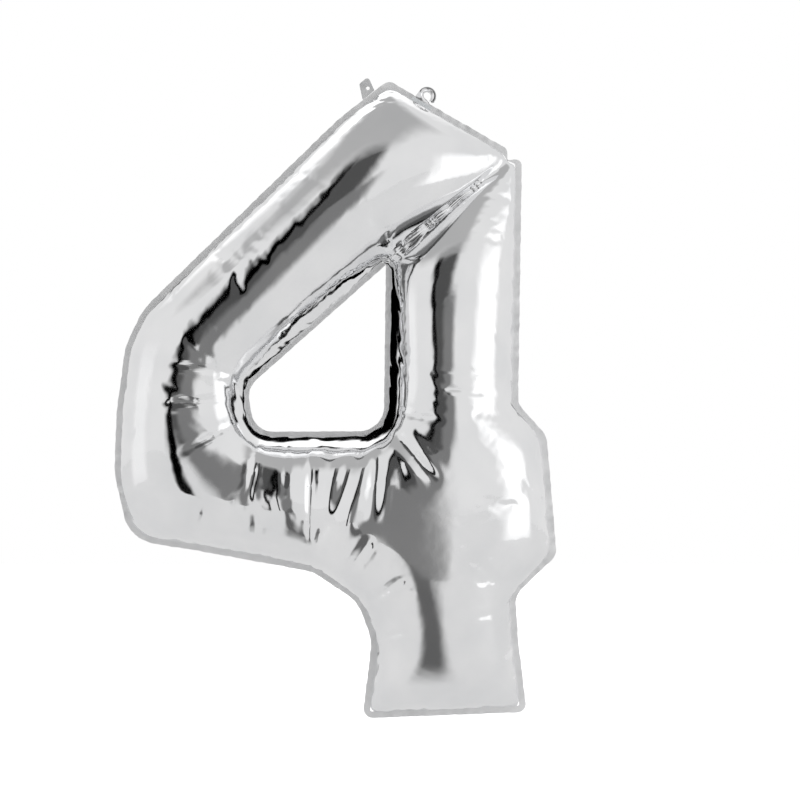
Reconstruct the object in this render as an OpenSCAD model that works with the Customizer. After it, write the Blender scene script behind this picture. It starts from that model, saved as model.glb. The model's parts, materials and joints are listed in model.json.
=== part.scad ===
// Air-filled foil balloon in the shape of the numeral 4.
// Two foil panels are welded face to face along their edges and round the eye,
// with a flat two-film valve caught in the weld of the arm's top edge.
// Front faces -Y, +Z is up, and the origin is the centre of the hang tab's hole.

/* [Strokes] */
// Diameter of the stem above the crossbar when full
stem_d = 170; // [160:1:176]
// Diameter of the stem's leg below the crossbar when full
leg_d = 182; // [174:1:188]
// Diameter of the slanting arm when full
arm_d = 166; // [156:1:172]
// Diameter of the crossbar when full
bar_d = 176; // [168:1:182]

/* [Layout] */
// Stem's centre line to the centre line of the left side
bar_reach = 352; // [345:1:362]
// Radius of the upper left bend, on the stroke's centre line
bend_r = 81; // [70:1:90]
// Crossbar's centre line to the bottom of the upper left bend
bend_rise = 144; // [136:1:152]
// Straight length of the arm
arm_len = 347; // [342:1:354]
// Crossbar's centre line to the top of the stem's round part
stem_rise = 263; // [255:1:270]
// Crossbar's centre line to the bottom of the leg's round part
leg_drop = 197; // [185:1:215]

/* [Welded ends] */
// Depth of the flattened end below the leg's round part
foot_drop = 87; // [75:1:100]
// Width of the flattened foot between its corner centres
foot_w = 190; // [180:1:200]
// How far the crossbar's blunt right end passes the stem's centre line
nub_reach = 135; // [128:1:145]
// Height of the crossbar's blunt right end between its corner centres
nub_h = 120; // [100:1:126]
// Rounding of the pointed corners
corner_r = 4; // [3:0.5:6]
// Rounding of the crossbar's blunt end
nub_r = 9; // [6:0.5:14]

/* [Film and weld] */
// Thickness of each foil panel, thicker than real film
film_t = 0.5; // [0.4:0.05:0.8]
// Width of the weld outside the inflated part
seam_w = 7; // [5:0.5:10]
// Width of the weld under the foot of each panel
seam_lap = 2; // [1.5:0.5:4]

/* [Hang tab] */
// Diameter of the hang hole
hang_hole_d = 5; // [4:0.5:6]
// Hole centre to the crease where the tab joins the weld
hole_reach = 9; // [8:0.5:12]
// Width of the tab along the weld
tab_w = 20; // [18:1:26]
// Length of the tab, measured upwards from the weld
tab_len = 27; // [24:1:34]

/* [Valve and tail] */
// Middle of the valve from the arm's peak, along the top edge
valve_place = 48; // [40:1:60]
// Width of the valve's two films
valve_w = 30; // [24:1:36]
// Length of the valve inside the balloon
valve_len = 120; // [90:1:130]
// Length of the tail, measured upwards from the weld
tail_len = 30; // [26:1:40]
// Diameter of the hole for the pump's nozzle
inlet_d = 8; // [6:0.5:10]

/* [Hidden] */

// Facets of a ball in the panels, and angle between balls round the bend
BALL_FN = 32;
BEND_STEP = 15;
ARM_SLOPE = 45;
// A cut runs past the face it opens by this much
CUT = 1;

stem_r = stem_d / 2;
leg_r = leg_d / 2;
arm_r = arm_d / 2;
bar_r = bar_d / 2;
weld_t = 2 * film_t;
valve_film_t = 0.8 * film_t;
// A crease needs this much room on each side of its axis, so that the films' corners clear
crease_gap = 1.2 * film_t;

// Every station is [x, z, ball radius], measured from the crossing of stem and crossbar.
function station(p, r) = [p.x, p.y, r];
function unit(v) = v / norm(v);
function turn(v, a) = [v.x * cos(a) - v.y * sin(a), v.x * sin(a) + v.y * cos(a)];

// The stem and the leg stand a little to the right of the crossing's middle.
crossing_fat = 2;
stem_shift = 10;
leg_shift = 4;
// The stem's slanted end: how far its tip stands out and up, and its inner corner in and up
tip_out = 12;
tip_rise = 192;
inner_in = 13;
inner_rise = 57;
crossing = [0, 0, leg_r + crossing_fat];
stem_top = [stem_shift, stem_rise, stem_r];
stem_tip = [stem_r + tip_out, stem_rise + tip_rise, corner_r];
stem_inner = [-stem_r + inner_in, stem_rise + inner_rise, corner_r];
leg_low = [leg_shift, -leg_drop, leg_r];
foot_z = -leg_drop - foot_drop;
foot_left = [-foot_w / 2, foot_z, corner_r];
foot_right = [foot_w / 2, foot_z, corner_r];
// How much lower than level the crossbar's right end sits, and how far its foot leans out
nub_sink = 4;
nub_lean = 2;
nub_upper = [nub_reach, nub_h / 2 - nub_sink, nub_r];
nub_lower = [nub_reach + nub_lean, -nub_h / 2 - nub_sink, nub_r];

// The left side: an arc out of the arm, a short drop, a sharp corner, then the crossbar.
bend_centre = [-bar_reach + bend_r, bend_rise];
bend_start = 90 + ARM_SLOPE;
function bend_point(a) = bend_centre + bend_r * [cos(a), sin(a)];
function bend_ball(a) = arm_r + (bar_r - arm_r) * (a - bend_start) / (180 - bend_start);
bend = [for (a = [bend_start : BEND_STEP : 180]) station(bend_point(a), bend_ball(a))];
// The lower left corner's reach and height, and the crossbar's left end
corner_out = 4;
corner_rise = 40;
bar_in = 76;
bar_rise = 10;
left_corner = [-bar_reach - corner_out, corner_rise, bar_r];
bar_left = [-bar_reach + bar_in, bar_rise, bar_r];

// The arm's own directions: along it, and across it to the upper left.
along = [cos(ARM_SLOPE), sin(ARM_SLOPE)];
across = turn(along, 90);
arm_top = station(bend_point(bend_start) + arm_len * along, arm_r);
function from_arm_top(u, v, r) = station([arm_top.x, arm_top.y] + u * along + v * across, r);
// The arm's slanted end: how far its peak stands short of square, and its tip runs past it
peak_back = 1;
peak_in = 12;
tip_along = 46;
tip_side = 16;
arm_peak = from_arm_top(arm_r - peak_back, arm_r - peak_in, corner_r);
arm_tip = from_arm_top(arm_r + tip_along, -arm_r - tip_side, corner_r);

// Half the height of the nub's root, then pairs of balls that round off the crooks.
nub_root = 50;
crook_drop = 53;
crook_in = 62;
crook_left = [[-bar_reach, bend_rise - crook_drop, bar_r], [-bar_reach + crook_in, bar_rise, bar_r]];
crook_eye = [[-stem_r + inner_in, 0, bar_r], [leg_shift, stem_r, stem_r]];
crook_foot = [[-stem_r - inner_in, 0, bar_r], [leg_shift, -leg_r - corner_rise, leg_r]];

// Each link is a group of balls under one tight skin.
links = concat(
    [[arm_top, arm_peak, arm_tip], [arm_top, bend[0]]],
    [for (i = [1 : len(bend) - 1]) [bend[i - 1], bend[i]]],
    [[bend[len(bend) - 1], left_corner], [left_corner, bar_left], [bar_left, crossing]],
    [crook_left, crook_eye, crook_foot],
    [[stem_top, stem_tip, stem_inner], [stem_top, crossing], [crossing, leg_low]],
    [[leg_low, foot_left, foot_right]],
    [[[0, nub_root, leg_r], [0, -nub_root, leg_r], nub_upper, nub_lower]]
);

// Directions of the arm's top edge, and the line that its weld ends on.
top_edge = unit([arm_tip.x - arm_peak.x, arm_tip.y - arm_peak.y]);
top_out = turn(top_edge, 90);
valve_root = [arm_peak.x, arm_peak.y] + valve_place * top_edge + (corner_r + seam_w) * top_out;
valve_angle = atan2(top_edge.y, top_edge.x);

// The weld's edge beside the peak touches the arm's last ball and the peak's ball.
peak_line = [arm_peak.x - arm_top.x, arm_peak.y - arm_top.y];
peak_lean = acos((arm_top.z - arm_peak.z) / norm(peak_line));
peak_out = turn(unit(peak_line), peak_lean);
tab_angle = atan2(peak_out.y, peak_out.x) - 90;
// Tab's middle from the peak along the weld, how far its free end leans, and its hole's shift
tab_place = 23;
tab_lean = 6;
hole_shift = 5;
tab_root = [arm_peak.x, arm_peak.y] + (corner_r + seam_w) * peak_out + tab_place * turn(peak_out, 90);
hang_hole = tab_root + hole_reach * peak_out + hole_shift * turn(peak_out, -90);

// Draws flat work in the weld's plane: x to the right, y up the balloon, z towards the front.
module on_weld_plane() {
    translate([-hang_hole.x, 0, -hang_hole.y]) rotate([90, 0, 0]) children();
}

// A flat sheet between two heights above the weld's middle plane.
module sheet(low, high) {
    on_weld_plane() translate([0, 0, low]) linear_extrude(high - low) children();
}

// Half of a ball on the weld's plane, or a lens that runs below it as well.
module half_ball(r, below) {
    step = 90 / (BALL_FN / 4);
    start = below ? -90 : 0;
    arc = [for (a = [start : step : 90]) r * [cos(a), sin(a)]];
    rotate_extrude($fn = BALL_FN) polygon(below ? arc : concat([[0, 0]], arc));
}

// The inflated space on one side of the weld, its surface moved in by inset.
module bulge(inset, below) {
    for (link = links)
        hull()
            for (s = link)
                translate([s.x, s.y, 0]) half_ball(s.z - inset, below);
}

// The outline of the inflated part, seen from the front.
module outline() {
    for (link = links)
        hull()
            for (s = link)
                translate([s.x, s.y]) circle(s.z, $fn = 2 * BALL_FN);
}

// Everything inside the strokes' centre lines, up to the notch between the two tips.
module eye_zone() {
    points = concat([arm_top], bend, [left_corner, bar_left, crossing, stem_top, stem_tip, arm_tip]);
    polygon([for (p = points) [p.x, p.y]]);
}

// One foil panel, drawn bulging to the front.
module panel() {
    translate([0, 0, film_t])
        difference() {
            bulge(0, false);
            bulge(film_t, true);
        }
}

// The weld on both sides of the outline, and the web between the stem's end and the arm.
module weld_band() {
    web = [stem_inner, stem_tip, arm_tip, arm_top];
    difference() {
        union() {
            offset(r = seam_w, $fn = BALL_FN) outline();
            polygon([for (p = web) [p.x, p.y]]);
        }
        offset(delta = -seam_lap) outline();
    }
}

// Places flat work on the arm's top edge, where the valve goes in.
module at_valve() {
    translate(valve_root) rotate(valve_angle) children();
}

// Places flat work on the weld's edge beside the peak, where the tab stands.
module at_tab() {
    translate(tab_root) rotate(tab_angle) children();
}

// The strip that the valve's films fill in the weld and inside the arm.
module valve_strip(w, reach) {
    at_valve() translate([-w / 2, -reach]) square([w, reach]);
}

// A film tongue that stands up from a sloping root, clear of the weld by the room for its crease.
module tongue(root_w, reach, tip_w, lean, tip_r) {
    hull() {
        translate([-root_w / 2, 2 * crease_gap]) square([root_w, 1]);
        for (side = [-1, 1])
            translate([lean + side * (tip_w / 2 - tip_r), reach - tip_r])
                circle(tip_r, $fn = BALL_FN);
    }
}

module front_foil() {
    color("silver") on_weld_plane() panel();
}

module back_foil() {
    color("lightgray") on_weld_plane() mirror([0, 0, 1]) panel();
}

module outer_seam() {
    color("gainsboro") sheet(-weld_t / 2, weld_t / 2)
        difference() {
            weld_band();
            eye_zone();
            valve_strip(valve_w, seam_w + seam_lap + corner_r);
        }
}

module counter_seam() {
    color("gainsboro") sheet(-weld_t / 2, weld_t / 2)
        intersection() {
            weld_band();
            eye_zone();
        }
}

module valve_front_film() {
    color("whitesmoke") sheet(weld_t / 2 - valve_film_t, weld_t / 2)
        valve_strip(valve_w, seam_w + valve_len);
}

module valve_back_film() {
    color("whitesmoke") sheet(-weld_t / 2, -weld_t / 2 + valve_film_t)
        valve_strip(valve_w, seam_w + valve_len);
}

// Printed on the front valve film where it crosses the weld, so the two films don't seal.
module valve_release_patch() {
    color("dimgray") sheet(0, weld_t / 2 - valve_film_t)
        valve_strip(valve_w / 2, seam_w + 3 * seam_lap);
}

module tail_outline() {
    at_valve() tongue(valve_w, tail_len * cos(valve_angle), valve_w - 3,
        tail_len * sin(valve_angle), 5);
}

module tail_front_film() {
    color("silver") sheet(0, film_t) tail_outline();
}

module tail_back_film() {
    color("lightgray") difference() {
        sheet(-film_t, 0) tail_outline();
        sheet(-film_t - CUT, 0) at_valve()
            translate([-valve_w / 6, tail_len / 2]) circle(inlet_d / 2, $fn = BALL_FN);
    }
}

module hang_tab() {
    color("silver") difference() {
        sheet(-weld_t / 2, weld_t / 2)
            at_tab() tongue(tab_w, tab_len * cos(tab_angle), tab_w - 4, tab_lean, 4);
        sheet(-weld_t / 2 - CUT, weld_t / 2 + CUT)
            translate(hang_hole) circle(hang_hole_d / 2, $fn = BALL_FN);
    }
}

front_foil();
back_foil();
outer_seam();
counter_seam();
valve_front_film();
valve_back_film();
valve_release_patch();
tail_front_film();
tail_back_film();
hang_tab();
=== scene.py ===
# %% [markdown]
# # A foil number balloon
# The balloon is two sheets of metallised film, welded together along their edges and
# filled with air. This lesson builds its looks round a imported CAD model: the film panels
# are blown up by a Cloth simulation, and the welds, the tail and the finishes are added.
# First the CAD model is loaded. It stays where it is and gives every position.

# %% Load the CAD frame
import json
import math

import bpy
import numpy as np
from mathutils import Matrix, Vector
from mathutils.geometry import delaunay_2d_cdt


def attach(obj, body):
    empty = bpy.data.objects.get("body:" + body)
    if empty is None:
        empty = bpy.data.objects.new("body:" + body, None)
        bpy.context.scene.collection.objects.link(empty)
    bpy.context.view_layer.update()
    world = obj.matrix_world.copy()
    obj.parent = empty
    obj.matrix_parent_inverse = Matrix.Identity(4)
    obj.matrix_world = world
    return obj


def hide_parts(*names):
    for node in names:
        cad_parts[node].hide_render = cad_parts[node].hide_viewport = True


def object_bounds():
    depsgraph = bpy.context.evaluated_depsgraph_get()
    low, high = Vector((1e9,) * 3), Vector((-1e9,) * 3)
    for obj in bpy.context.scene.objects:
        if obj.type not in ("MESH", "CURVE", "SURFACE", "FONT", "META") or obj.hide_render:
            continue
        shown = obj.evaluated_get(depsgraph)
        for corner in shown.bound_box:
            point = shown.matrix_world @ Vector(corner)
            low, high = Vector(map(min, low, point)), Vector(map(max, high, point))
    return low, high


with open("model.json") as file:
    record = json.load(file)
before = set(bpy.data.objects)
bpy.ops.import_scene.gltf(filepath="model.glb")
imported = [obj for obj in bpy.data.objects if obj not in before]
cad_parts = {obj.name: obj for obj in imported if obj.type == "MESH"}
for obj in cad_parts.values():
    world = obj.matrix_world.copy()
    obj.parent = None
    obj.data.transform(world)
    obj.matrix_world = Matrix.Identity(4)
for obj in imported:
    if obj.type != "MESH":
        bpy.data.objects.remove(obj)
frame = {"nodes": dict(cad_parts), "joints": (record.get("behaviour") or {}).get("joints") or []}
cad_low, cad_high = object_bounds()
print("CAD box in mm:", [round(1000 * (b - a)) for a, b in zip(cad_low, cad_high)])

MM = 0.001
bpy.ops.object.select_all(action="DESELECT")

# %% [markdown]
# ## The weld line
# A flat drawing of the line where the two sheets are welded, in millimetres from the hole
# of the hang tab: x to the right, z up, and the radius of each corner. A number balloon
# could be drawn with curves, but straight runs joined by arcs are how a pattern cutter
# draws it, and a corner is then one row that is easy to move.

# %% Corners of the weld line
OUTER = [
    (28, 3, 6), (184, -87, 7), (189, -98, 1.5), (202, -101, 5), (199, -300, 90),
    (197, -430, 26), (236, -474, 24), (249, -630, 14), (193, -684, 34), (197, -748, 60),
    (208, -839, 5), (0, -847, 5), (12, -748, 60), (-8, -692, 60), (-72, -649, 70),
    (-230, -620, 90), (-318, -606, 44), (-337, -520, 80), (-334, -440, 80),
    (-322, -350, 90), (-298, -302, 90), (-37, -48, 160),
]
EYE = [(29, -229, 4), (26, -469, 38), (-158, -470, 34), (-168, -404, 34)]
NOTCH = 2  # the corner of OUTER where the arm and the stem part
STEP = 5.0  # the length of an edge in the film's net
MOST_CUT = 0.45  # the most of a side that one corner's arc may take


def rounded(corners, pieces=9):
    """The outline through the corners, with an arc of each corner's radius in it."""
    points = []
    for i, (x, z, radius) in enumerate(corners):
        here = np.array([x, z], float)
        back = np.array(corners[i - 1][:2]) - here
        ahead = np.array(corners[(i + 1) % len(corners)][:2]) - here
        back_len, ahead_len = np.linalg.norm(back), np.linalg.norm(ahead)
        back, ahead = back / back_len, ahead / ahead_len
        half = math.acos(np.clip(back @ ahead, -1, 1)) / 2
        cut = min(radius / math.tan(half), MOST_CUT * back_len, MOST_CUT * ahead_len)
        radius = cut * math.tan(half)
        middle = here + (back + ahead) / np.linalg.norm(back + ahead) * radius / math.sin(half)
        first, last = here + cut * back - middle, here + cut * ahead - middle
        start = math.atan2(first[1], first[0])
        sweep = (math.atan2(last[1], last[0]) - start + math.pi) % (2 * math.pi) - math.pi
        for part in np.linspace(0, 1, pieces):
            turn = start + sweep * part
            points.append(middle + radius * np.array([math.cos(turn), math.sin(turn)]))
    return np.array(points)


def evenly(points, step):
    """The same closed line with a point at every step of its length."""
    closed = np.vstack([points, points[:1]])
    run = np.concatenate([[0], np.cumsum(np.linalg.norm(np.diff(closed, axis=0), axis=1))])
    at = np.linspace(0, run[-1], max(3, round(run[-1] / step)), endpoint=False)
    return np.stack([np.interp(at, run, closed[:, k]) for k in range(2)], axis=1)


def signed_area(line):
    """The area inside the closed line, positive if it runs anticlockwise."""
    return np.sum(line[:, 0] * np.roll(line[:, 1], -1)
                  - np.roll(line[:, 0], -1) * line[:, 1]) / 2


outer_line = evenly(rounded(OUTER), STEP)
eye_line = evenly(rounded(EYE), STEP)
slit_start = int(np.argmin(np.linalg.norm(eye_line - np.array(EYE[0][:2]), axis=1)))
slit_end = int(np.argmin(np.linalg.norm(outer_line - np.array(OUTER[NOTCH][:2]), axis=1)))
slit_steps = int(np.linalg.norm(outer_line[slit_end] - eye_line[slit_start]) / STEP)
slit_line = eye_line[slit_start] + (outer_line[slit_end] - eye_line[slit_start]) * (
    np.arange(1, slit_steps)[:, None] / slit_steps)
print("weld line:", len(outer_line), "points round the outside,", len(eye_line), "round the eye")

# %% [markdown]
# ## A net of triangles over one panel
# The film needs a mesh that ends exactly on the weld line. A grid would leave steps along
# it, so a honeycomb of points is laid inside the line, and Blender's constrained Delaunay
# function joins the points into triangles without crossing the line.

# %% Distances and the honeycomb
JITTER = 0.05  # how far a point may stray, in steps
CLEAR = 0.6  # the least room between a point and the weld, in steps


def inside(line, points):
    """True for each point that lies inside the closed line."""
    found = np.zeros(len(points), bool)
    for (x1, z1), (x2, z2) in zip(line, np.roll(line, 1, axis=0)):
        crosses = (z1 > points[:, 1]) != (z2 > points[:, 1])
        found ^= crosses & (points[:, 0] < (x2 - x1) * (points[:, 1] - z1) / (z2 - z1 + 1e-12) + x1)
    return found


def away(line, points, closed=True):
    """Each point's distance from the line."""
    nearest = np.full(len(points), 1e9)
    for i in range(len(line) if closed else len(line) - 1):
        start = line[i]
        side = line[(i + 1) % len(line)] - start
        along = np.clip((points - start) @ side / (side @ side), 0, 1)
        gap = np.linalg.norm(points - start - along[:, None] * side, axis=1)
        nearest = np.minimum(nearest, gap)
    return nearest


def from_weld(points):
    """Each point's distance from the nearest weld: the outside, the eye or the slit."""
    gaps = [away(outer_line, points), away(eye_line, points), away(slit_line, points, False)]
    return np.min(gaps, axis=0)


low, high = outer_line.min(0), outer_line.max(0)
rows = np.arange(low[1], high[1], STEP * math.sqrt(3) / 2)
honeycomb = np.array([
    (x, z) for row, z in enumerate(rows)
    for x in np.arange(low[0] + row % 2 * STEP / 2, high[0], STEP)])
honeycomb += np.random.default_rng(4).uniform(-JITTER, JITTER, honeycomb.shape) * STEP
honeycomb = honeycomb[inside(outer_line, honeycomb) & ~inside(eye_line, honeycomb)]
honeycomb = honeycomb[from_weld(honeycomb) > CLEAR * STEP]
print("honeycomb points:", len(honeycomb))

# %% [markdown]
# The weld line's points come first, so that the triangles' corners which lie on the weld
# can be told apart afterwards, and triangles outside the line or in the eye are dropped.

# %% Triangles of one panel
net_corners = [Vector(p) for p in outer_line] + [Vector(p) for p in eye_line]
weld_edges = [(i, (i + 1) % len(outer_line)) for i in range(len(outer_line))]
eye_first = len(outer_line)
weld_edges += [(eye_first + i, eye_first + (i + 1) % len(eye_line)) for i in range(len(eye_line))]
slit_first = len(net_corners)
net_corners += [Vector(p) for p in slit_line]
weld_edges += [(slit_first + i, slit_first + i + 1) for i in range(len(slit_line) - 1)]
weld_edges += [(slit_first, eye_first + slit_start), (len(net_corners) - 1, slit_end)]
weld_count = len(net_corners)
net_corners += [Vector(p) for p in honeycomb]
net, _, faces, origins, _, _ = delaunay_2d_cdt(net_corners, weld_edges, [], 0, 1e-4)
net = np.array([tuple(p) for p in net])
faces = np.array([f for f in faces if len(f) == 3])
middles = net[faces].mean(axis=1)
faces = faces[inside(outer_line, middles) & ~inside(eye_line, middles)]
on_weld = np.array([any(source < weld_count for source in origin) for origin in origins])
print("one panel:", len(net), "points,", len(faces), "triangles")

# %% [markdown]
# ## How far the air lifts the film
# Air pushes a film up as it pushes a soap film over a wire frame. The height squared
# follows Poisson's equation: over a long strip its root is exactly a half circle, and
# over a corner or a crossing it gives the soft blend that a real balloon has. The sum over
# the triangles' edges is solved with conjugate gradients.

# %% Solve for the height


def edge_weights(points, triangles):
    """Cotangent weight of each triangle edge, and the area round each point."""
    starts, ends, weights = [], [], []
    area = np.zeros(len(points))
    for k in range(3):
        tip, a, b = triangles[:, k], triangles[:, (k + 1) % 3], triangles[:, (k + 2) % 3]
        u, v = points[a] - points[tip], points[b] - points[tip]
        cross = np.abs(u[:, 0] * v[:, 1] - u[:, 1] * v[:, 0]) + 1e-9
        starts.append(a)
        ends.append(b)
        weights.append(0.5 * (u * v).sum(axis=1) / cross)
        np.add.at(area, tip, cross / 6)
    return np.concatenate(starts), np.concatenate(ends), np.concatenate(weights), area


starts, ends, weights, area = edge_weights(net, faces)


def pull(height):
    """What the film's neighbours do to each point's height."""
    flow = weights * (height[starts] - height[ends])
    total = np.bincount(starts, flow, len(net)) - np.bincount(ends, flow, len(net))
    total[on_weld] = 0
    return total


MOST_ROUNDS, CLOSE_ENOUGH = 900, 1e-3
lift = np.zeros(len(net))
rest = np.where(on_weld, 0, 2 * area)
search = rest.copy()
for _ in range(MOST_ROUNDS):
    pulled = pull(search)
    stride = (rest @ rest) / (search @ pulled)
    lift += stride * search
    remaining = rest - stride * pulled
    search = remaining + (remaining @ remaining) / (rest @ rest) * search
    rest = remaining
    if np.abs(rest).max() < CLOSE_ENOUGH:
        break
DEEPEST = 97  # the solved film never rises more than this
CAP_SHARPNESS = 8  # a higher number keeps low film as it is and flattens only the top
height = np.sqrt(np.maximum(lift, 0))
height = height / (1 + (height / DEEPEST) ** CAP_SHARPNESS) ** (1 / CAP_SHARPNESS)
print("highest point of the film:", round(height.max()), "mm")

# %% [markdown]
# ## One closed skin
# The cloth solver wants even mesh all over, but near the weld the film stands up steeply
# and its triangles are long. So the two panels are made one closed skin, and a voxel
# remesh gives it small even quads. A few rounds of smoothing take off the voxel steps.

# %% Join both panels and remesh
VOXEL = 5.2
SMOOTHING, SMOOTH_ROUNDS = 0.5, 6
back_side = np.arange(len(net)) + len(net)
back_side[on_weld] = np.flatnonzero(on_weld)
skin_points = np.zeros((2 * len(net), 3))
skin_points[:len(net)] = np.stack([net[:, 0], -height, net[:, 1]], axis=1)
skin_points[len(net):] = np.stack([net[:, 0], height, net[:, 1]], axis=1)
skin_faces = np.vstack([faces, back_side[faces][:, ::-1]])
used = np.unique(skin_faces)
renumber = np.zeros(2 * len(net), int)
renumber[used] = np.arange(len(used))


def new_object(name, points, polygons):
    """A mesh object at the origin, selected and active, with its faces turned outwards."""
    mesh = bpy.data.meshes.new(name)
    mesh.from_pydata([tuple(p) for p in points], [], [tuple(int(i) for i in f) for f in polygons])
    made = bpy.data.objects.new(name, mesh)
    bpy.context.scene.collection.objects.link(made)
    bpy.ops.object.select_all(action="DESELECT")
    bpy.context.view_layer.objects.active = made
    made.select_set(True)
    bpy.ops.object.mode_set(mode="EDIT")
    bpy.ops.mesh.select_all(action="SELECT")
    bpy.ops.mesh.normals_make_consistent(inside=False)
    bpy.ops.object.mode_set(mode="OBJECT")
    return made


def finish_modifier(made, name, kind, **settings):
    """Adds a modifier to the object, sets it and applies it."""
    modifier = made.modifiers.new(name, kind)
    for key, value in settings.items():
        setattr(modifier, key, value)
    bpy.context.view_layer.objects.active = made
    bpy.ops.object.modifier_apply(modifier=modifier.name)


skin = new_object("skin", skin_points[used] * MM, renumber[skin_faces])
finish_modifier(skin, "even", "REMESH", mode="VOXEL", voxel_size=VOXEL * MM, use_smooth_shade=True)
finish_modifier(skin, "soften", "SMOOTH", factor=SMOOTHING, iterations=SMOOTH_ROUNDS)
print("closed skin:", len(skin.data.vertices), "points")

# %% [markdown]
# ## Where the film has length to spare
# Flat film can't cover a bend without going into folds: on the inside of each bend there
# is more film than room. Real folds run out from the bend like spokes. They could be
# drawn one by one, but it is truer to give the solver a little more film there and let
# the pressure find the folds. A vertex group says where, and another pins the weld.

# %% Vertex groups for the weld and the spare film
PIN_REACH, PIN_HEIGHT = 4.2, 5
SPARE_EDGE = 1.3  # spare film ends at this many times a bend's reach
SPARE_LEVELS = 10
# Each bend: its x and z, how far it reaches, and its share of the spare film.
BENDS = [
    (-165, -425, 95, 1.0), (20, -462, 95, 1.0), (-30, -664, 120, 0.9), (197, -436, 100, 0.8),
    (196, -684, 90, 0.8), (-330, -560, 90, 0.5), (-300, -320, 80, 0.3),
]


def positions(made):
    """The object's points as an array, in millimetres."""
    flat = np.zeros(3 * len(made.data.vertices), np.float32)
    made.data.vertices.foreach_get("co", flat)
    return flat.reshape(-1, 3) / MM


skin_at = positions(skin)
weld_gap = from_weld(skin_at[:, [0, 2]])
pinned = np.flatnonzero((weld_gap < PIN_REACH) & (np.abs(skin_at[:, 1]) < PIN_HEIGHT))
spare = np.zeros(len(skin_at))
for x, z, reach, amount in BENDS:
    away_from = np.hypot(skin_at[:, 0] - x, skin_at[:, 2] - z) / reach
    spare = np.maximum(spare, amount * np.clip(SPARE_EDGE - away_from, 0, 1))
weld_group = skin.vertex_groups.new(name="weld")
weld_group.add([int(i) for i in pinned], 1.0, "REPLACE")
spare_group = skin.vertex_groups.new(name="spare")
for level in range(1, SPARE_LEVELS + 1):
    chosen = np.flatnonzero(np.ceil(spare * SPARE_LEVELS) == level)
    spare_group.add([int(i) for i in chosen], level / SPARE_LEVELS, "REPLACE")
print("pinned points:", len(pinned), " points with spare film:", int((spare > 0).sum()))

# %% [markdown]
# ## Blow it up
# The Cloth modifier with pressure and no gravity is the usual way to make an inflated
# thing. The film hardly stretches, so tension is high, and it folds easily, so bending is
# low. After the last frame the modifier is applied, so that the shape is kept.

# %% Cloth simulation
FRAMES = 24
PRESSURE = 5
SHRINK_ALL, SHRINK_BENDS = -0.006, -0.11  # below zero the film grows


def inflate(made):
    """Runs the cloth solver on the object with the weld held still."""
    modifier = made.modifiers.new("air", "CLOTH")
    cloth = modifier.settings
    cloth.quality = 6
    cloth.mass = 0.05
    cloth.tension_stiffness = 60
    cloth.compression_stiffness = 30
    cloth.shear_stiffness = 30
    cloth.bending_stiffness = 0.02
    cloth.tension_damping = cloth.compression_damping = cloth.shear_damping = 5
    cloth.bending_damping = 0.5
    cloth.air_damping = 1
    cloth.use_pressure = True
    cloth.uniform_pressure_force = PRESSURE
    cloth.effector_weights.gravity = 0
    cloth.vertex_group_mass = "weld"
    cloth.pin_stiffness = 1
    cloth.vertex_group_shrink = "spare"
    cloth.shrink_min = SHRINK_ALL
    cloth.shrink_max = SHRINK_BENDS
    modifier.collision_settings.use_collision = False
    modifier.point_cache.frame_start = 1
    modifier.point_cache.frame_end = FRAMES
    for number in range(1, FRAMES + 1):
        bpy.context.scene.frame_set(number)
    bpy.context.view_layer.objects.active = made
    bpy.ops.object.modifier_apply(modifier=modifier.name)
    bpy.context.scene.frame_set(1)


inflate(skin)
skin_at = positions(skin)
print("inflated film in mm:", [round(float(v)) for v in skin_at.max(0) - skin_at.min(0)])

# %% [markdown]
# ## Set creases
# Some folds are sharp and stay where they are, because the film was packed flat and folded
# there. The solver can't know them, so they are pressed in as a maker would, with a
# groove along a short line: deep in the middle, fading at its ends, with a low swell on
# each side.

# %% Press the creases
GROOVE_FADE = 0.7  # below 1 a groove stays deep for longer before it fades
SWELL = 0.4  # the height of the swell beside a groove, as a share of its depth
# Each crease: x and z of both ends, then its depth and its width.
CREASES = [
    (-68, -462, -70, -650, 9, 20), (-74, -480, -76, -640, 4, 3),
    (-178, -388, -270, -372, 2.5, 3), (-182, -420, -276, -428, 3, 3.5),
    (-168, -450, -246, -492, 2.5, 3), (-142, -472, -158, -560, 2.5, 3.5),
    (-106, -470, -110, -566, 1.8, 3), (-14, -474, -46, -596, 5, 10), (16, -474, 6, -584, 4, 8),
    (34, -462, 92, -534, 4, 7), (34, -436, 104, -452, 2.2, 4), (90, -382, 190, -388, 1.2, 3.5),
    (92, -406, 192, -418, 1.3, 3.5), (-80, -644, -52, -580, 3, 4), (-40, -670, 6, -604, 3, 5),
    (-14, -700, 50, -656, 3, 4), (6, -742, 56, -726, 2, 3.5), (190, -668, 130, -628, 1.2, 4),
    (190, -704, 134, -708, 0.9, 3.5), (-152, -630, -146, -574, 2, 3.5),
    (-228, -612, -210, -556, 2, 3.5),
]


def press(made):
    """Presses every crease into both sides of the object."""
    spots = positions(made)
    for x1, z1, x2, z2, depth, width in CREASES:
        start, side = np.array([x1, z1]), np.array([x2 - x1, z2 - z1], float)
        offset = spots[:, [0, 2]] - start
        along = offset @ side / (side @ side)
        gap = np.abs(offset[:, 0] * side[1] - offset[:, 1] * side[0]) / np.linalg.norm(side)
        fade = np.clip(np.sin(np.pi * np.clip(along, 0, 1)), 0, 1) ** GROOVE_FADE
        groove = np.exp(-(gap / width) ** 2) - SWELL * np.exp(-((gap - 2 * width) / width) ** 2)
        spots[:, 1] -= np.sign(spots[:, 1]) * np.minimum(depth * fade * groove, np.abs(spots[:, 1]))
    made.data.vertices.foreach_set("co", (spots * MM).astype(np.float32).ravel())
    made.data.update()


press(skin)
print("pressed", len(CREASES), "creases")

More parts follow.
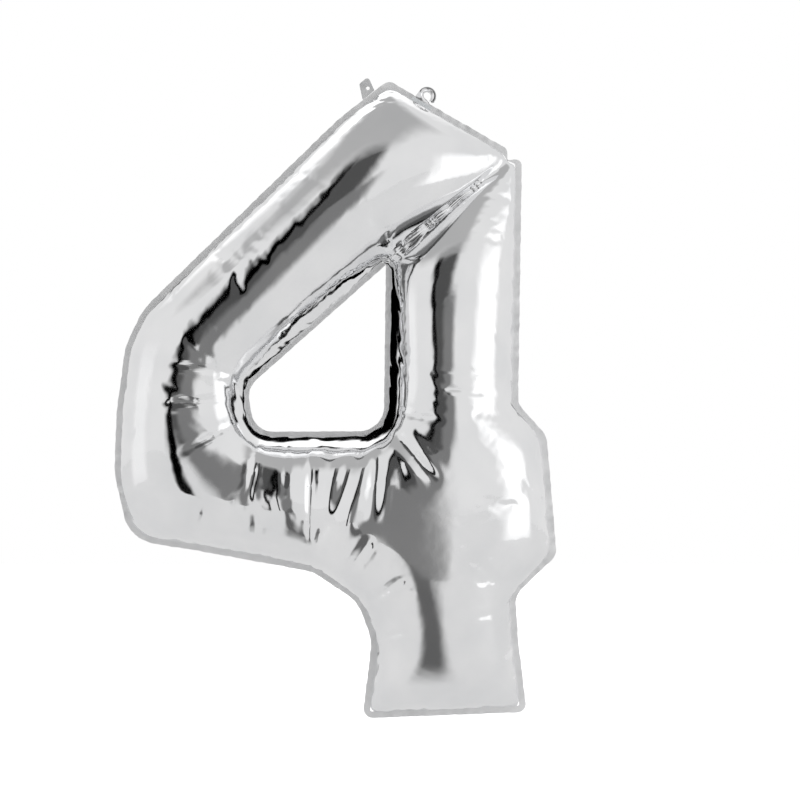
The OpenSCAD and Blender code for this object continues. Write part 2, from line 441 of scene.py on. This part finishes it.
# %% [markdown]
# ## Two panels
# The skin is smoothed with one subdivision and cut along the weld's plane with bisect, so
# each half is one sheet of film. Its flat size is the pattern's: a tube's film is half a
# turn wide, so the pattern is wider than the inflated balloon by that difference.

# %% Subdivide and cut
finish_modifier(skin, "rounds", "SUBSURF", levels=1, render_levels=1)
skin.vertex_groups.clear()


def half(name, side):
    """A copy of the skin cut off at the weld's plane, on the front (-1) or back (1) side."""
    made = skin.copy()
    made.data = skin.data.copy()
    made.name = name
    made.data.name = name
    bpy.context.scene.collection.objects.link(made)
    bpy.ops.object.select_all(action="DESELECT")
    bpy.context.view_layer.objects.active = made
    made.select_set(True)
    bpy.ops.object.mode_set(mode="EDIT")
    bpy.ops.mesh.select_all(action="SELECT")
    bpy.ops.mesh.bisect(plane_co=(0, 0, 0), plane_no=(0, -side, 0), clear_outer=True)
    bpy.ops.object.mode_set(mode="OBJECT")
    bpy.ops.object.shade_smooth()
    return made


front_panel = half("front_panel", -1)
back_panel = half("back_panel", 1)
bpy.data.objects.remove(skin)


def film_area(made):
    """The object's surface in square metres."""
    return sum(face.area for face in made.data.polygons)


for panel in (front_panel, back_panel):
    print(panel.name, len(panel.data.polygons), "faces", round(film_area(panel), 4), "m2")

# %% [markdown]
# ## The welds
# Outside the weld line both films run on as one flat strip. When the balloon fills, the
# line gets shorter and the strip has to pucker, so its free edge waves. The strip is a
# ribbon along the weld line: its wave comes from a few sine waves of unrelated lengths,
# which never repeat and need no random numbers. A Solidify modifier gives it its thickness.
# Beside the hanging tab the strip stays flat, so the tab can fold over it without cutting it.

# %% A puckered ribbon along a line
RIBBON_STEP = 1.8
NOTCH_ROOM, NARROWEST = 14, 0.15  # the strip narrows this near the notch, to this share
EDGE_WANDER = 0.07  # how much the strip's width varies
PUCKER, PUCKER_RISE = 0.45, 1.3  # the wave's height at the free edge, and how it grows there
SWELLING, SWELL_RUN = 0.8, 53  # how the wave's height changes along the strip
FILM = 0.35
SHARP_ANGLE = math.radians(50)


def outwards(line):
    """Unit vectors square to the closed line, on the right of its direction."""
    along = np.roll(line, -1, axis=0) - np.roll(line, 1, axis=0)
    along /= np.linalg.norm(along, axis=1)[:, None]
    return np.stack([along[:, 1], -along[:, 0]], axis=1)


def ruffle(run):
    """A wave between about -1 and 1 that doesn't repeat along the run."""
    return 0.4 * np.sin(run / 2.3) + 0.35 * np.sin(run / 3.7 + 1) + 0.35 * np.sin(run / 9.1 + 2)


tab_joint = next(j for j in frame["joints"] if j["name"] == "tab_crease")
tab_root = np.array([tab_joint["pos_m"][0], tab_joint["pos_m"][2]]) / MM
FLAT_WITHIN, FADE = 14, 14


def weld_ribbon(name, line, side, width, lap, thickness):
    """A strip of film on the side of the line that side gives, with a puckered free edge."""
    line = evenly(line, RIBBON_STEP)
    out = outwards(line) * side
    for _ in range(3):
        out = out + np.roll(out, 1, axis=0) + np.roll(out, -1, axis=0)
        out /= np.linalg.norm(out, axis=1)[:, None]
    run = np.arange(len(line)) * RIBBON_STEP
    notch_gap = np.linalg.norm(line - np.array(OUTER[NOTCH][:2]), axis=1)
    tab_gap = np.linalg.norm(line - tab_root, axis=1)
    loose = np.clip((tab_gap - FLAT_WITHIN) / FADE, 0, 1)
    wander = 1 + EDGE_WANDER * loose * ruffle(run + 40)
    reach = width * np.clip(notch_gap / NOTCH_ROOM, NARROWEST, 1) * wander
    rings = []
    for part in (-lap / width, 0, 0.25, 0.5, 0.75, 1):
        spot = line + out * (part * reach)[:, None]
        pucker = PUCKER * max(part, 0) ** PUCKER_RISE * ruffle(run)
        wave = pucker * (1 + SWELLING * np.sin(run / SWELL_RUN)) * loose
        rings.append(np.stack([spot[:, 0], wave, spot[:, 1]], axis=1))
    count = len(line)
    points = np.vstack(rings) * MM
    quads = [
        (ring * count + i, ring * count + (i + 1) % count,
         (ring + 1) * count + (i + 1) % count, (ring + 1) * count + i)
        for ring in range(len(rings) - 1) for i in range(count)]
    made = new_object(name, points, quads)
    finish_modifier(made, "film", "SOLIDIFY", thickness=thickness * MM, offset=0)
    bpy.ops.object.shade_smooth_by_angle(angle=SHARP_ANGLE)
    return made


OUTER_W, EYE_W, LAP = 6.5, 4.5, 2.5
outer_side = 1 if signed_area(outer_line) > 0 else -1
outer_weld = weld_ribbon("outer_weld", rounded(OUTER), outer_side, OUTER_W, LAP, FILM)
eye_side = -1 if signed_area(eye_line) > 0 else 1
eye_weld = weld_ribbon("eye_weld", rounded(EYE), eye_side, EYE_W, LAP, FILM)
print("welds:", len(outer_weld.data.polygons), "and", len(eye_weld.data.polygons), "faces")

# %% [markdown]
# Between the arm and the stem the two welds run together in one straight strip from the
# eye to the notch. It is a plane, cut into short lengths and waved like the ribbons, then
# joined to the ribbon round the eye, because the real weld is one piece.

# %% The strip in the slit
slit_from, slit_to = np.array(EYE[0][:2], float), np.array(OUTER[NOTCH][:2], float)
slit_len = float(np.linalg.norm(slit_to - slit_from))
slit_along = (slit_to - slit_from) / slit_len
slit_side = np.array([-slit_along[1], slit_along[0]])
SLIT_W, SLIT_PUCKER, SLIT_STATIONS = 2.4, 0.1, 60
stations = np.linspace(0, 1, SLIT_STATIONS)
strip_points, strip_quads = [], []
for part in stations:
    for across in (-0.5, 0, 0.5):
        spot = slit_from + slit_along * slit_len * part + slit_side * SLIT_W * across
        wave = SLIT_PUCKER * float(ruffle(np.array([part * slit_len + 9 * across]))[0])
        strip_points.append((spot[0] * MM, wave * MM, spot[1] * MM))
for i in range(len(stations) - 1):
    for k in range(2):
        strip_quads.append((3 * i + k, 3 * i + k + 1, 3 * i + k + 4, 3 * i + k + 3))
slit_weld = new_object("slit_weld", strip_points, strip_quads)
finish_modifier(slit_weld, "film", "SOLIDIFY", thickness=FILM * MM, offset=0)
eye_weld.select_set(True)
bpy.context.view_layer.objects.active = eye_weld
bpy.ops.object.join()
print("eye weld with slit:", len(eye_weld.data.polygons), "faces")

# %% [markdown]
# ## The tail
# The filling tail is the valve's end that stands out of the weld: two films, one inside
# the other. Thin film keeps the curl of its roll, so each film rolls into a narrow gutter
# as it leaves the weld and then arches over to one side. Its tip ends above the crease and
# it stays narrow, so it can fold both ways without cutting the panels. The film is a grid
# of points worked out row by row, and a Subdivision Surface rounds it.

# %% Curled tail films
tail_joint = next(j for j in frame["joints"] if j["name"] == "tail_crease")
tail_root = np.array(list(tail_joint["pos_m"])) / MM
tail_across = np.array(list(tail_joint["axis"]))
tail_up = np.array([-tail_across[2], 0, tail_across[0]])
TAIL_W, TAIL_LEN = 24, 37
RISE, BEND_R, GUTTER_R = 9, 7.5, 5.2
ARCH = 3.1  # how far the tail arches over, in radians
GUTTER_TURN = 1.75  # how far each side of the gutter is rolled, in radians
GUTTER_RUN = 11  # the length over which the flat film becomes a gutter
GUTTER_SINK = 0.6  # where the gutter's middle lies, as a share of its radius
SIDE_SHIFT = 6  # how far the tail leans to the side
OPEN_RUN = 4  # the length over which the two films part
TAIL_FILM = 0.12


def tail_film(name, offset, loosen):
    """One film of the tail: it rolls into a gutter as it leaves the weld, then arches over."""
    columns, rows = 17, 31
    bend_r = BEND_R + loosen
    points = []
    for r in range(rows):
        run = TAIL_LEN * r / (rows - 1)
        bent = min(max(run - RISE, 0) / bend_r, ARCH)
        past = max(run - RISE - ARCH * bend_r, 0)
        up, over = min(run, RISE) + bend_r * math.sin(bent) - past, bend_r * (1 - math.cos(bent))
        rolled = min(1, run / GUTTER_RUN)
        rolled = rolled * rolled * (3 - 2 * rolled)
        for c in range(columns):
            side = (c / (columns - 1) - 0.5) * TAIL_W
            swing = GUTTER_TURN * side / (TAIL_W / 2)
            gutter = (GUTTER_R + offset) * (math.cos(swing) - GUTTER_SINK)
            parting = offset * 0.5 * math.sin(math.pi * c / (columns - 1))
            flat_part = parting * min(1, run / OPEN_RUN)
            across = side * (1 - rolled) + gutter * rolled
            depth = flat_part * (1 - rolled) + (GUTTER_R + offset) * math.sin(swing) * rolled
            spot = tail_root + tail_up * (up - across * math.sin(bent))
            spot = spot + tail_across * (over - SIDE_SHIFT * rolled + across * math.cos(bent))
            points.append(tuple((spot + np.array([0, depth, 0])) * MM))
    quads = [
        (r * columns + c, r * columns + c + 1, (r + 1) * columns + c + 1, (r + 1) * columns + c)
        for r in range(rows - 1) for c in range(columns - 1)]
    made = new_object(name, points, quads)
    finish_modifier(made, "rounds", "SUBSURF", levels=1, render_levels=1)
    finish_modifier(made, "film", "SOLIDIFY", thickness=TAIL_FILM * MM, offset=0)
    bpy.ops.object.shade_smooth_by_angle(angle=SHARP_ANGLE)
    return made


tail_front = tail_film("tail_front", -0.3, 0.0)
tail_back = tail_film("tail_back", 0.3, 0.5)
print("tail films:", len(tail_front.data.polygons), "faces each")

# %% [markdown]
# ## Finishes
# Metallised film is a mirror with small faults: the coating is a little uneven, so its
# gloss varies softly, and handling leaves fine crinkles. All of it comes from procedural
# patterns on Object coordinates, and goes into colour, roughness and bump. What is the
# same everywhere is set on the shader's own sockets.

# %% A helper for materials


def finish(name, colour, metallic, roughness, ior=1.45):
    """A material with its shader, and the Object coordinates for patterns."""
    material = bpy.data.materials.new(name)
    material.use_nodes = True
    tree = material.node_tree
    shader = tree.nodes["Principled BSDF"]
    shader.inputs["Base Color"].default_value = (*colour, 1)
    shader.inputs["Metallic"].default_value = metallic
    shader.inputs["Roughness"].default_value = roughness
    shader.inputs["IOR"].default_value = ior
    place = tree.nodes.new("ShaderNodeTexCoord").outputs["Object"]
    return material, tree, shader, place


def noise(tree, place, scale, detail=3.0, roughness=0.5):
    """A noise pattern at the given scale."""
    node = tree.nodes.new("ShaderNodeTexNoise")
    node.inputs["Scale"].default_value = scale
    node.inputs["Detail"].default_value = detail
    node.inputs["Roughness"].default_value = roughness
    tree.links.new(place, node.inputs["Vector"])
    return node.outputs["Fac"]


def spread(tree, value, low, high):
    """The pattern's middle part stretched from low to high."""
    node = tree.nodes.new("ShaderNodeMapRange")
    node.inputs["From Min"].default_value = 0.3
    node.inputs["From Max"].default_value = 0.7
    node.inputs["To Min"].default_value = low
    node.inputs["To Max"].default_value = high
    tree.links.new(value, node.inputs["Value"])
    return node.outputs["Result"]


def tint(tree, shader, value, dark, light):
    """Colours the surface from dark to light by the pattern."""
    node = tree.nodes.new("ShaderNodeValToRGB")
    node.color_ramp.elements[0].position = 0.3
    node.color_ramp.elements[0].color = (*dark, 1)
    node.color_ramp.elements[1].position = 0.7
    node.color_ramp.elements[1].color = (*light, 1)
    tree.links.new(value, node.inputs["Fac"])
    tree.links.new(node.outputs["Color"], shader.inputs["Base Color"])


def bump(tree, shader, value, distance, strength, under=None):
    """Raises the surface by the pattern, over an earlier bump if one is given."""
    node = tree.nodes.new("ShaderNodeBump")
    node.inputs["Distance"].default_value = distance
    node.inputs["Strength"].default_value = strength
    tree.links.new(value, node.inputs["Height"])
    if under is not None:
        tree.links.new(under, node.inputs["Normal"])
    tree.links.new(node.outputs["Normal"], shader.inputs["Normal"])
    return node.outputs["Normal"]


# %% [markdown]
# The panels and the tail are mirror film: a soft cloud in the gloss, shallow dents a few
# centimetres wide, and crinkles of under a centimetre on top of them.

# %% Mirror film
mirror, tree, shader, place = finish("mirror_film", (0.93, 0.93, 0.94), 1.0, 0.07)
cloudy = noise(tree, place, 9, 4)
tree.links.new(spread(tree, cloudy, 0.045, 0.11), shader.inputs["Roughness"])
tint(tree, shader, noise(tree, place, 14, 3), (0.88, 0.885, 0.895), (0.96, 0.96, 0.965))
soft_dents = bump(tree, shader, noise(tree, place, 22, 2, 0.45), 0.0022, 0.22)
bump(tree, shader, noise(tree, place, 120, 3, 0.6), 0.0002, 0.12, soft_dents)
print("made", mirror.name)

# %% [markdown]
# The weld is the same film pressed between heated bars. It's duller, and the bars leave
# small dimples in it, which come from a Voronoi pattern with a soft noise over them.

# %% Heat-sealed weld
sealed, tree, shader, place = finish("sealed_film", (0.9, 0.9, 0.9), 0.45, 0.4)
tree.links.new(spread(tree, noise(tree, place, 60, 3), 0.3, 0.46), shader.inputs["Roughness"])
tint(tree, shader, noise(tree, place, 40, 3), (0.86, 0.865, 0.87), (0.96, 0.96, 0.965))
dimples = tree.nodes.new("ShaderNodeTexVoronoi")
dimples.inputs["Scale"].default_value = 700
tree.links.new(place, dimples.inputs["Vector"])
pressed = bump(tree, shader, dimples.outputs["Distance"], 0.0002, 0.15)
bump(tree, shader, noise(tree, place, 180, 2), 0.0004, 0.15, pressed)
print("made", sealed.name)

# %% [markdown]
# The hang tab is the same film but only half coated, so it looks pale and a little milky.
# The valve inside is plain polyethylene, and its release patch a thin printed layer. Both
# are hidden in the balloon, but they get their own finish for when it is opened.

# %% Tab, valve and patch
pale, tree, shader, place = finish("pale_film", (0.86, 0.87, 0.88), 0.55, 0.25)
tree.links.new(spread(tree, noise(tree, place, 90, 3), 0.2, 0.36), shader.inputs["Roughness"])
tint(tree, shader, noise(tree, place, 70, 2), (0.78, 0.79, 0.8), (0.92, 0.925, 0.93))
bump(tree, shader, noise(tree, place, 260, 3), 0.0004, 0.3)

milky, tree, shader, place = finish("milky_film", (0.8, 0.82, 0.84), 0.0, 0.35)
tree.links.new(spread(tree, noise(tree, place, 80, 3), 0.28, 0.45), shader.inputs["Roughness"])
tint(tree, shader, noise(tree, place, 35, 2), (0.72, 0.75, 0.77), (0.86, 0.88, 0.89))
bump(tree, shader, noise(tree, place, 150, 3), 0.0005, 0.3)

printed, tree, shader, place = finish("release_print", (0.75, 0.78, 0.8), 0.0, 0.6)
tree.links.new(spread(tree, noise(tree, place, 200, 2), 0.5, 0.7), shader.inputs["Roughness"])
tint(tree, shader, noise(tree, place, 300, 2), (0.6, 0.66, 0.7), (0.8, 0.83, 0.85))
bump(tree, shader, noise(tree, place, 400, 2), 0.0002, 0.3)
print("made", pale.name, milky.name, printed.name)

# %% [markdown]
# The new pieces get their finish as their only material. The tab, the valve films and the
# patch are the CAD model's own solids, so theirs goes into the slots that they have.

# %% Give the pieces their finish


def wear(made, material):
    """The object has this one material."""
    made.data.materials.clear()
    made.data.materials.append(material)


for made in (front_panel, back_panel, tail_front, tail_back):
    wear(made, mirror)
for made in (outer_weld, eye_weld):
    wear(made, sealed)
for node, material in (
        ("hang_tab", pale), ("valve_front_film", milky), ("valve_back_film", milky),
        ("valve_release_patch", printed)):
    for slot in frame["nodes"][node].material_slots:
        slot.material = material

# %% [markdown]
# ## Tie the pieces to the CAD bodies
# The panels and welds move with the balloon, the tail films with the tail. Each piece
# stands for the CAD solid that it is drawn over.

# %% Bodies
for made, body, node, slot in (
        (front_panel, "balloon", "front_foil", "foil"),
        (back_panel, "balloon", "back_foil", "foil"),
        (outer_weld, "balloon", "outer_seam", "weld"),
        (eye_weld, "balloon", "counter_seam", "weld"),
        (tail_front, "inflation_tail", "tail_front_film", "flap_film"),
        (tail_back, "inflation_tail", "tail_back_film", "flap_film")):
    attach(made, body)
    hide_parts(node)

# %% [markdown]
# ## The studio
# A mirror shows only what stands round it, so the studio is most of this object's look.
# Soft lights hang on the right, on the left, and high up behind. Three dark flags hang
# between the camera and the balloon, a grey one hangs overhead, and a dark one lies on the
# floor in front: their reflections are the dark bands down the tubes. Two more hang behind
# the balloon, for its edges and for the rim of the eye. All are plain cards with soft
# edges that the camera doesn't see. Each row gives a card's glow, its centre, its size and
# how much of each side is soft.

# %% Cards that only the mirror sees


def soft_edge(tree, value, soft):
    """0 at both ends of the card, rising to 1 over the soft part of its side."""
    centred = tree.nodes.new("ShaderNodeMath")
    centred.operation = "PINGPONG"
    centred.inputs[1].default_value = 0.5
    tree.links.new(value, centred.inputs[0])
    ramp = tree.nodes.new("ShaderNodeMapRange")
    ramp.interpolation_type = "SMOOTHSTEP"
    ramp.inputs["From Max"].default_value = soft
    tree.links.new(centred.outputs[0], ramp.inputs["Value"])
    return ramp.outputs["Result"]


def card(name, glow_strength, centre, size, soft):
    """A card facing the balloon that only reflections see, with soft edges."""
    bpy.ops.object.select_all(action="DESELECT")
    bpy.ops.mesh.primitive_plane_add(size=1, location=centre)
    made = bpy.context.object
    made.name = name
    made.scale = (size[0], size[1], 1)
    made.rotation_euler = (middle - Vector(centre)).to_track_quat("Z", "Y").to_euler()
    material = bpy.data.materials.new(name)
    material.use_nodes = True
    tree = material.node_tree
    tree.nodes.remove(tree.nodes["Principled BSDF"])
    glow = tree.nodes.new("ShaderNodeEmission")
    glow.inputs["Strength"].default_value = glow_strength
    clear = tree.nodes.new("ShaderNodeBsdfTransparent")
    mix = tree.nodes.new("ShaderNodeMixShader")
    split = tree.nodes.new("ShaderNodeSeparateXYZ")
    both = tree.nodes.new("ShaderNodeMath")
    both.operation = "MULTIPLY"
    tree.links.new(tree.nodes.new("ShaderNodeTexCoord").outputs["UV"], split.inputs[0])
    tree.links.new(soft_edge(tree, split.outputs["X"], soft[0]), both.inputs[0])
    tree.links.new(soft_edge(tree, split.outputs["Y"], soft[1]), both.inputs[1])
    tree.links.new(both.outputs[0], mix.inputs[0])
    tree.links.new(clear.outputs[0], mix.inputs[1])
    tree.links.new(glow.outputs[0], mix.inputs[2])
    tree.links.new(mix.outputs[0], tree.nodes["Material Output"].inputs["Surface"])
    made.data.materials.append(material)
    made.visible_camera = False
    made.visible_shadow = False
    made.visible_diffuse = False
    return made


FLOOR_DROP = 0.35  # how far the floor lies under the balloon
MAT_LIFT = 0.01  # the room between the floor and the mat
middle = (cad_low + cad_high) / 2
card("flag_left", 0.0, middle + Vector((-0.72, -1.5, 0.2)), (0.3, 2.9), (0.3, 0.15))
card("flag_camera", 0.08, middle + Vector((-0.6, -2.2, 0.95)), (1.8, 2.9), (0.25, 0.2))
card("flag_stand", 0.2, middle + Vector((-0.06, -2.3, -0.1)), (1.25, 2.2), (0.35, 0.1))
card("flag_top", 0.45, middle + Vector((-0.3, -0.5, 2.0)), (3.6, 3.0), (0.25, 0.25))
floor_mat = card(
    "floor_mat", 0.12, Vector((middle.x, -1.45, cad_low.z - FLOOR_DROP + MAT_LIFT)), (0.6, 2.5),
    (0.35, 0.15))
floor_mat.rotation_euler = (0, 0, 0)
card("soft_right", 1.2, middle + Vector((2.2, -0.9, 0.1)), (2.6, 2.6), (0.3, 0.3))
card("soft_left", 0.9, middle + Vector((-2.4, -0.4, 0)), (2.0, 2.4), (0.3, 0.3))
card("soft_rear", 1.25, middle + Vector((-0.4, 1.3, 2.0)), (3.4, 2.0), (0.25, 0.25))
card("rear_dark", 0.06, middle + Vector((0, 1.6, 0.1)), (2.2, 1.6), (0.2, 0.2))
card("eye_flag", 0.0, middle + Vector((-0.1, 0.3, 0.0)), (0.56, 0.56), (0.12, 0.12))

# %% [markdown]
# The floor is plain and pale, well below the balloon, which hangs by its tab. The world is
# white where the camera sees it and a little darker in reflections, and the floor glows
# for the camera alone, so that no line shows where the two meet.

# %% Floor, world and camera
FLOOR_GLOW, SEEN_LIGHT, ROUND_LIGHT = 0.6, 1.0, 0.78
bpy.ops.object.select_all(action="DESELECT")
bpy.ops.mesh.primitive_plane_add(size=16, location=(middle.x, 0, cad_low.z - FLOOR_DROP))
floor = bpy.context.object
floor.name = "floor"
pale_floor, tree, shader, place = finish("pale_floor", (0.93, 0.93, 0.93), 0.0, 0.8)
tint(tree, shader, noise(tree, place, 3, 2), (0.925, 0.925, 0.925), (0.935, 0.935, 0.935))
shader.inputs["Emission Color"].default_value = (1, 1, 1, 1)
brighten = tree.nodes.new("ShaderNodeMath")
brighten.operation = "MULTIPLY"
brighten.inputs[1].default_value = FLOOR_GLOW
tree.links.new(tree.nodes.new("ShaderNodeLightPath").outputs["Is Camera Ray"], brighten.inputs[0])
tree.links.new(brighten.outputs[0], shader.inputs["Emission Strength"])
wear(floor, pale_floor)

world = bpy.data.worlds.new("studio")
bpy.context.scene.world = world
world.use_nodes = True
tree = world.node_tree
backdrop = tree.nodes["Background"]
backdrop.inputs["Color"].default_value = (1, 1, 1, 1)
backdrop.inputs["Strength"].default_value = SEEN_LIGHT
around = tree.nodes.new("ShaderNodeBackground")
around.inputs["Color"].default_value = (1, 1, 1, 1)
around.inputs["Strength"].default_value = ROUND_LIGHT
seen = tree.nodes.new("ShaderNodeMixShader")
tree.links.new(tree.nodes.new("ShaderNodeLightPath").outputs["Is Camera Ray"], seen.inputs[0])
tree.links.new(around.outputs[0], seen.inputs[1])
tree.links.new(backdrop.outputs[0], seen.inputs[2])
tree.links.new(seen.outputs[0], tree.nodes["World Output"].inputs["Surface"])
bpy.context.scene.view_settings.view_transform = "Standard"

VIEW_WIDTH = 1.084
VIEW_CENTRE = Vector((0.0435, 0, -0.4224))
DISTANCE = 3.2
SENSOR = 36
camera_data = bpy.data.cameras.new("camera")
camera_data.sensor_width = SENSOR
camera_data.lens = SENSOR * DISTANCE / VIEW_WIDTH
camera = bpy.data.objects.new("camera", camera_data)
bpy.context.scene.collection.objects.link(camera)
camera.location = VIEW_CENTRE + Vector((0, -DISTANCE, 0))
camera.rotation_euler = (math.pi / 2, 0, 0)
bpy.context.scene.camera = camera
